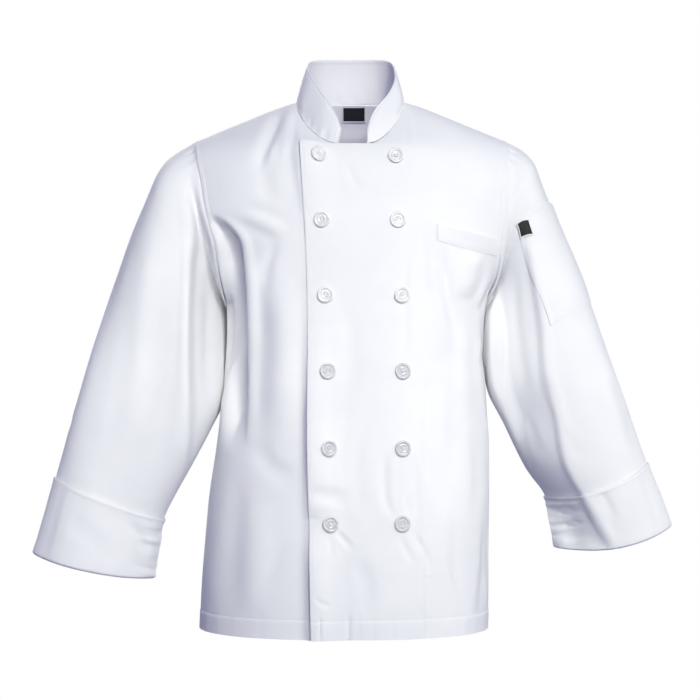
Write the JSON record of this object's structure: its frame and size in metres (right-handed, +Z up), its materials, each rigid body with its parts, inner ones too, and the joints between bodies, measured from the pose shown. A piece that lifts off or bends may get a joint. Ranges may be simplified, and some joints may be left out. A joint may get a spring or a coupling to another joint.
{
  "type": "chef jacket",
  "caption": "Hollow double-breasted long-sleeved jacket with stand collar, wrap-over front, turned-back cuffs and a pen pocket on one sleeve.",
  "frame": {"origin": "centre of the neck opening, level with the points where the shoulder seams meet the neck; there the wearer's neck and shoulders hold the jacket up", "axes": "+Z up, the front faces -Y, +X towards the wearer's left sleeve"},
  "size_m": [0.9072, 0.2863, 0.8092],
  "materials": {
    "cloth": "white twill, soft, slightly cool",
    "button": "pearly white",
    "label": "black woven, bare"
  },
  "bodies": {
    "root": {"back": "cloth", "front_right": "cloth", "front_left": "cloth", "sleeve_right": "cloth", "sleeve_left": "cloth", "cuff_right": "cloth", "cuff_left": "cloth", "collar": "cloth", "chest_welt": "cloth", "sleeve_pocket": "cloth", "sleeve_tag": "label", "neck_label": "label", "button_outer_1": "button", "button_outer_2": "button", "button_outer_3": "button", "button_outer_4": "button", "button_outer_5": "button", "button_outer_6": "button", "button_inner_1": "button", "button_inner_2": "button", "button_inner_3": "button", "button_inner_4": "button", "button_inner_5": "button", "button_inner_6": "button"}
  },
  "joints": []
}
